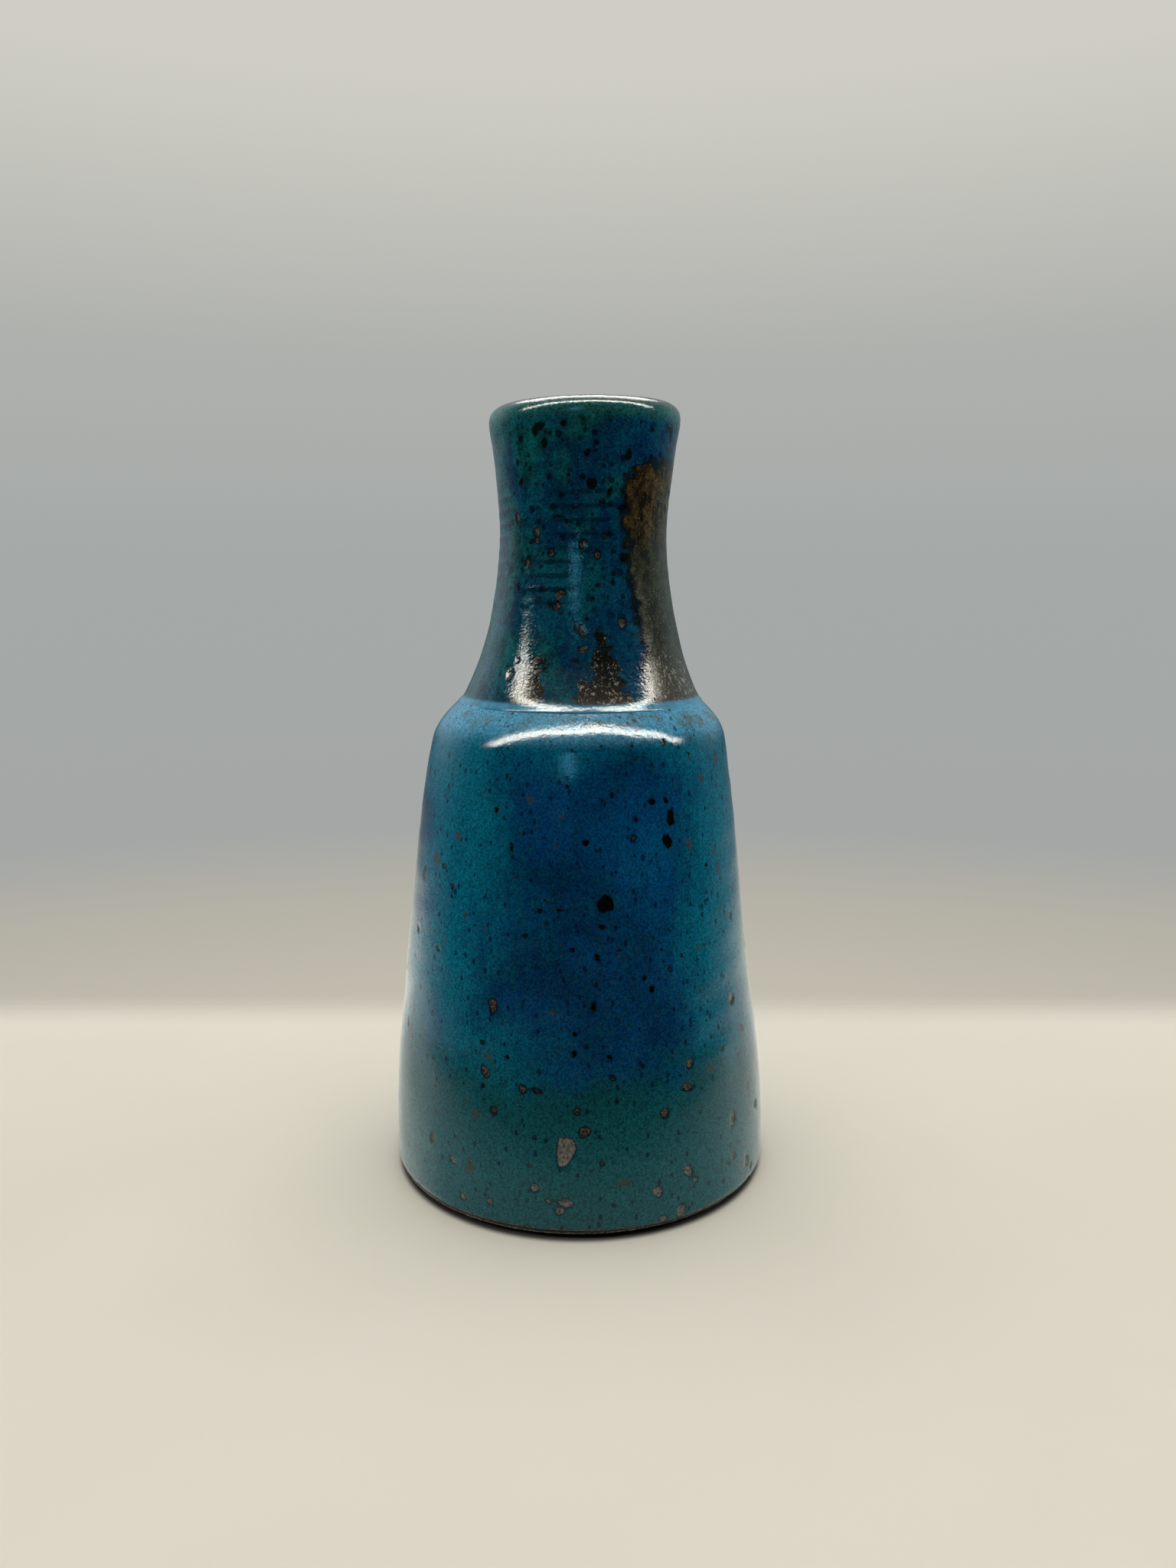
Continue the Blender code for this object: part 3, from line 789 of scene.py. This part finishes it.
def neck_glaze_material():
    p = Paint("neck_glaze")
    height = p.height()
    runs = p.noise(2.2, 2, 5.0, 0.65, (1, 1, 0.6))
    mottle = p.noise(0.32, 3, 3.0, 0.68)
    blue = p.mix(p.step(runs, 0.36, 0.64), NAVY, NECK_BLUE)
    sea = p.mix(p.step(runs, 0.36, 0.64), *NECK_SEA)
    colour = p.mix(p.step(p.field("green"), 0.3, 0.9), blue, sea)
    colour = p.laid(colour, THIN_BLUE, p.field("thin"), 0.55)
    colour = p.laid(colour, INK, p.step(p.field("groove"), 0.1, 1.1), 0.7)
    flecks = p.dots(1.1, 0.32, 0.55, 6, (1, 1, 0.75))
    colour = p.laid(colour, NECK_TICK, flecks, 0.8)
    colour = p.laid(colour, LIGHT_GRAIN, p.dots(0.62, 0.17, 0.4, 23), 0.4)
    soft = p.calc("MULTIPLY", p.dots(1.5, 0.62, 0.6, 21), p.step(height, *SPOTS_RISE, 0.35, 0.85))
    colour = p.mix(soft, colour, SOFT_SPOT)

    colour = p.laid(colour, LIP_GREEN, p.step(height, *LIP_RISE), 0.8)
    colour = p.laid(colour, LIP_EDGE, p.step(height, *LIP_EDGE_RISE), 0.8)

    brown = p.marks("brown", -0.4, 0.4, 1.6)
    streaks = p.step(p.noise(1.5, 13, 5.0, 0.75, (1, 1, 0.7)), 0.38, 0.64)
    flaked = p.mix(p.step(height, *GOLDEN_RISE), p.mix(streaks, *OLIVE_BROWN), p.mix(streaks, *GOLDEN))
    flaked = p.mix(p.step(height, *BROWN_BASE_RISE), flaked, BROWN_BASE)
    colour = p.mix(brown, colour, flaked)
    border = p.calc("MULTIPLY", p.marks("brown", -1.8, -0.5, 1.0), p.marks("brown", 0.9, 0.0, 1.0))
    colour = p.laid(colour, BROWN_BORDER, border, 0.85)
    black = p.marks("black", -0.5, 0.5, 1.8)
    colour = p.mix(black, colour, p.mix(p.step(height, *BLACK_BASE_RISE), *BLACK_CRUST))
    crusty = p.calc("MAXIMUM", black, p.calc("MULTIPLY", brown, 0.7))
    # Pale flecks over the crust are painted highlight, glints of its sparkle.
    fine = p.calc("MULTIPLY", p.dots(0.55, 0.13, 0.5, 14), p.step(height, *FINE_GLINTS_RISE, 0.3, 1.0))
    coarse = p.calc("MULTIPLY", p.step(p.noise(0.75, 19, 3.0, 0.7), 0.56, 0.62),
                    p.step(height, *COARSE_GLINTS_RISE))
    colour = p.mix(p.calc("MULTIPLY", crusty, p.calc("MAXIMUM", fine, coarse)), colour, PAINTED_GLINT)
    colour = p.scaled(colour, p.step(mottle, *MOTTLE, 0.35, 1.7))

    # The shoulder's blue, with its painted light, fills the crease where the coats are fused.
    fused = p.scaled(SHOULDER_BLUE_AND_PAINTED_LIGHT, p.step(p.noise(1.2, 22, 4.0, 0.7), 0.3, 0.7, 0.65, 1.0))
    colour = p.mix(p.step(height, *FUSED), colour, fused)

    colour = with_pits(p, colour)
    iron = p.calc("MAXIMUM", p.marks("iron", 0.0, 0.35), p.dots(1.9, 0.34, 0.4, 8))
    colour = p.laid(colour, IRON_BLACK, iron, 0.93)

    p.bumps((p.noise(0.38, 11, 2.0, 0.6), 0.032), (p.noise(1.7, 12, 2.0), 0.025))
    roughness = p.step(p.noise(0.8, 10, 3.0), 0.3, 0.7, *NECK_GLOSS)
    return p.finish(colour, p.calc("MAXIMUM", roughness, p.calc("MULTIPLY", brown, BROWN_ROUGHNESS)))


def liner_material():
    p = Paint("liner_glaze")
    cloud = p.noise(8, 1, 4.0, 0.6)
    colour = p.mix(p.step(cloud, 0.35, 0.65), *LINER_BLUES)
    colour = p.mix(p.dots(2.2, 0.4, 0.3, 2), colour, IRON_BLACK)
    roughness = p.step(p.noise(1.2, 3, 3.0), 0.3, 0.7, *LINER_GLOSS)
    p.bumps((p.noise(0.5, 4, 2.0), 0.03))
    return p.finish(colour, roughness)


def clay_material():
    p = Paint("bare_stoneware")
    tone = p.mix(p.noise(5, 1, 4.0, 0.6), *CLAY_TONES)
    colour = p.laid(tone, CLAY_SPECK, p.dots(0.8, 0.2, 0.3, 2), 0.7)
    colour = p.laid(colour, CLAY_GRIT, p.dots(1.1, 0.25, 0.25, 3), 0.6)
    crumbs = p.mix(p.step(p.noise(0.4, 21, 4.0, 0.7), 0.42, 0.56), *RIM_CRUMBS)
    colour = p.mix(p.step(p.field("rim"), 0.2, 0.8), colour, crumbs)
    # Painted shade darkens the undercut bevel.
    colour = p.laid(colour, UNDERCUT_PAINTED_SHADE, p.field("undercut"), 0.95)
    roughness = p.step(p.noise(0.7, 4, 3.0), 0.3, 0.7, 0.78, 0.95)
    p.bumps((p.noise(0.3, 5, 3.0, 0.6), 0.06), (p.noise(1.5, 6, 2.0), 0.08))
    return p.finish(colour, roughness)


def slip_material():
    p = Paint("slip")
    colour = p.mix(p.noise(2.0, 1, 4.0, 0.6, (1, 1, 3)), *SLIP_TONES)
    roughness = p.step(p.noise(0.7, 2, 3.0), 0.3, 0.7, 0.85, 0.97)
    p.bumps((p.noise(0.4, 3, 3.0, 0.6), 0.08))
    return p.finish(colour, roughness)


# ---------------------------------------------------------------- stage, light and camera

# The stage, its lamps and the camera are in metres. A fade is the values between which a board
# goes from nothing to full: of y at the shelf's back and in front, and of the distance far off.
REACH = 0.60
SHELF_FADE = (0.074, 0.052)
BOARD_FRONT, BOARD_FAR = (-2.0, -1.0), (0.60, 0.30)
SHEET_FRONT, SHEET_FAR = (-0.080, 0.015), (0.20, 0.08)
SHEET_RISE = 0.0002
# The painted contact shadow around the foot: how far its centre is in front, and the radii where it
# ends.
SHADOW_SHIFT = -0.0013
SHADOW_EDGE = (0.0289, 0.0303)
CREAM = (0.79, 0.735, 0.63)
MIRRORED_CREAM = (0.98, 0.95, 0.86)


def floor_material(name, colour, front, far):
    """Warm pale board with a painted contact shadow close around the foot, that fades out behind, in
    front and far off.
    """
    p = Paint(name)
    spot = p.node("ShaderNodeSeparateXYZ")
    p.plug(spot.inputs[0], p.place)
    away = p.node("ShaderNodeVectorMath", operation="LENGTH")
    p.plug(away.inputs[0], p.place)
    warm = p.mix(p.noise(60, 1, 3.0), colour, tuple(c * 0.96 for c in colour))
    # Painted contact shadow around the foot.
    centre = p.node("ShaderNodeVectorMath", operation="DISTANCE")
    p.plug(centre.inputs[0], p.place)
    centre.inputs[1].default_value = (0, SHADOW_SHIFT, 0)
    warm = p.mix(p.step(centre.outputs["Value"], *SHADOW_EDGE), FOOT_PAINTED_SHADE, warm)
    there = p.calc("MULTIPLY", p.step(spot.outputs[1], *SHELF_FADE),
                   p.step(away.outputs["Value"], *far))
    p.finish(warm, p.step(p.noise(20, 3), 0.3, 0.7, 0.75, 0.85))
    p.plug(p.shader.inputs["Alpha"], p.calc("MULTIPLY", there, p.step(spot.outputs[1], *front)))
    return p.material


def ground(name, z, material):
    """Flat square of the stage at a height."""
    mesh = bpy.data.meshes.new(name)
    corners = ((-1, -1), (1, -1), (1, 1), (-1, 1))
    mesh.from_pydata([(REACH * x, REACH * y, z) for x, y in corners], [], [(0, 1, 2, 3)])
    mesh.materials.append(material)
    obj = bpy.data.objects.new(name, mesh)
    bpy.context.scene.collection.objects.link(obj)
    return obj


def build_stage():
    """The board, and a thin sheet over it that only the glaze mirrors and that ends in front."""
    board = ground("board", 0.0, floor_material("pale_floor", CREAM, BOARD_FRONT, BOARD_FAR))
    board.visible_glossy = False
    sheet = ground("mirrored_board", SHEET_RISE, floor_material(
        "mirrored_floor", MIRRORED_CREAM, SHEET_FRONT, SHEET_FAR))
    sheet.visible_camera = sheet.visible_diffuse = sheet.visible_shadow = False


MIDDLE = Vector((0, 0, 0.06))
WARM, COOL = (1.0, 0.985, 0.93), (0.86, 0.94, 1.0)
MIRRORED_LAMPS = (  # name, place, width and height, radiance, colour
    ("strip", (0.02, -0.235, 0.73), (3.1, 0.115), 32.0, (1.0, 0.97, 0.86)),
    ("rim_glow", (0, 0.55, 0.92), (0.9, 0.45), 7.0, WARM),
    ("window", (-0.12, -0.75, 0.285), (0.13, 0.15), 3.8, (0.15, 0.6, 1.0)))
LIGHTING_LAMPS = (
    ("top", (0, 0.05, 1.1), (0.9, 0.9), 3.8, WARM),
    ("side_-1", (-0.9, 0.15, 0.25), (0.8, 0.5), 2.4, COOL),
    ("side_1", (0.9, 0.15, 0.25), (0.8, 0.5), 2.4, COOL))


def soft_light(name, place, size, radiance, colour, mirrored):
    """Rectangular lamp, out of the camera's sight, that is mirrored in the glaze or lights things."""
    data = bpy.data.lights.new(name, "AREA")
    data.shape = "RECTANGLE"
    data.size, data.size_y = size
    data.energy = radiance * math.pi * size[0] * size[1]
    data.color = colour
    lamp = bpy.data.objects.new(name, data)
    lamp.location = place
    lamp.rotation_euler = (MIDDLE - Vector(place)).to_track_quat("-Z", "Y").to_euler()
    lamp.visible_camera = False
    lamp.visible_diffuse = not mirrored
    lamp.visible_glossy = mirrored
    bpy.context.scene.collection.objects.link(lamp)


def light_scene():
    for lamp in MIRRORED_LAMPS:
        soft_light(*lamp, mirrored=True)
    for lamp in LIGHTING_LAMPS:
        soft_light(*lamp, mirrored=False)


WALL_TONES = (  # height of the sight line as the sine of its elevation, colour
    (-0.40, (0.60, 0.56, 0.46)), (-0.26, (0.46, 0.44, 0.38)), (-0.20, (0.37, 0.385, 0.38)),
    (0.02, (0.375, 0.40, 0.395)), (0.18, (0.43, 0.44, 0.42)), (0.36, (0.62, 0.61, 0.56)))
GLAZE_SEES = (  # how far behind the vase a reflected direction points, from -1 to 1, colour
    (-1.0, (0.006, 0.008, 0.010)), (0.05, (0.012, 0.018, 0.022)), (0.45, (0.56, 0.60, 0.62)),
    (0.68, (0.62, 0.64, 0.64)), (0.88, (0.40, 0.41, 0.40)), (1.0, (0.30, 0.31, 0.30)))
BY_HEIGHT = (  # the same by its height: the board below and the wall above are brighter
    (-0.30, (2.7, 2.5, 2.2)), (-0.23, (1.7, 1.65, 1.5)), (-0.16, (0.44, 0.53, 0.55)),
    (-0.08, (0.18, 0.27, 0.32)), (-0.01, (0.30, 0.40, 0.45)), (0.05, (0.58, 0.68, 0.74)),
    (0.20, (0.90, 1.0, 1.1)), (1.0, (0.6, 0.6, 0.6)))
BY_SIDE = (  # the same by its side, from left to right
    (-1.0, (1.28, 1.28, 1.28)), (0.0, (1.0, 1.0, 1.0)), (1.0, (0.66, 0.66, 0.58)))
OVERHEAD = (  # added for directions that point up
    (-1.0, (0.0, 0.0, 0.0)), (0.55, (0.0, 0.0, 0.0)), (0.85, (0.45, 0.55, 0.60)),
    (1.0, (0.8, 0.9, 0.95)))
AMBIENT = (  # what lights the vase besides the lamps, by how far behind it a direction points
    (-1.0, (0.005, 0.006, 0.007)), (0.0, (0.010, 0.012, 0.013)), (0.4, (0.18, 0.20, 0.21)),
    (1.0, (0.22, 0.23, 0.23)))


def build_world():
    """Dim in front of the vase, paler behind and above; the camera sees a plain pale wall."""
    world = bpy.data.worlds.new("studio")
    bpy.context.scene.world = world
    world.use_nodes = True
    tree = world.node_tree
    tree.nodes.clear()

    def ramp(value, tones):
        spread = tree.nodes.new("ShaderNodeMapRange")
        tree.links.new(value, spread.inputs[0])
        spread.inputs[1].default_value = -1.0
        made = tree.nodes.new("ShaderNodeValToRGB")
        tree.links.new(spread.outputs[0], made.inputs[0])
        marks = made.color_ramp.elements
        while len(marks) < len(tones):
            marks.new(0.5)
        for mark, (place, colour) in zip(marks, tones):
            mark.position = (place + 1) / 2
            mark.color = (*colour, 1)
        return made.outputs[0]

    def mix(first, second, share=None, blend="MIX"):
        made = tree.nodes.new("ShaderNodeMix")
        made.data_type = "RGBA"
        made.blend_type = blend
        made.inputs[0].default_value = 1.0
        tree.links.new(first, made.inputs[6])
        tree.links.new(second, made.inputs[7])
        if share:
            tree.links.new(share, made.inputs[0])
        return made.outputs[2]

    direction = tree.nodes.new("ShaderNodeSeparateXYZ")
    tree.links.new(tree.nodes.new("ShaderNodeTexCoord").outputs["Generated"], direction.inputs[0])
    wall = ramp(direction.outputs[2], WALL_TONES)
    glaze_sees = mix(ramp(direction.outputs[1], GLAZE_SEES), ramp(direction.outputs[2], BY_HEIGHT),
                     blend="MULTIPLY")
    glaze_sees = mix(glaze_sees, ramp(direction.outputs[0], BY_SIDE), blend="MULTIPLY")
    glaze_sees = mix(glaze_sees, ramp(direction.outputs[2], OVERHEAD), blend="ADD")
    ray = tree.nodes.new("ShaderNodeLightPath").outputs
    around = mix(ramp(direction.outputs[1], AMBIENT), glaze_sees, ray["Is Glossy Ray"])
    background = tree.nodes.new("ShaderNodeBackground")
    tree.links.new(mix(around, wall, ray["Is Camera Ray"]), background.inputs["Color"])
    output = tree.nodes.new("ShaderNodeOutputWorld")
    tree.links.new(background.outputs[0], output.inputs[0])


EYE = (0.00135, -0.187, 0.0935)
TURNED_UP = 80.32
LENS, SENSOR = 27.04, 36.0


def place_camera():
    """Eye about 19 cm in front, above the middle, looking down by 9.7 degrees."""
    data = bpy.data.cameras.new("camera")
    data.sensor_width = SENSOR
    data.lens = LENS
    data.clip_start = 0.01
    camera = bpy.data.objects.new("camera", data)
    camera.location = EYE
    camera.rotation_euler = (math.radians(TURNED_UP), 0, 0)
    bpy.context.scene.collection.objects.link(camera)
    bpy.context.scene.camera = camera


body_glaze()
neck_glaze()
liner_glaze()
stoneware_body()
hidden_piece("stoneware_neck", 120, 1.2, clay_material())
hidden_piece("luting_slip", 160, 0.5, slip_material())
build_stage()
light_scene()
build_world()
place_camera()
bpy.context.scene.view_settings.view_transform = "Standard"
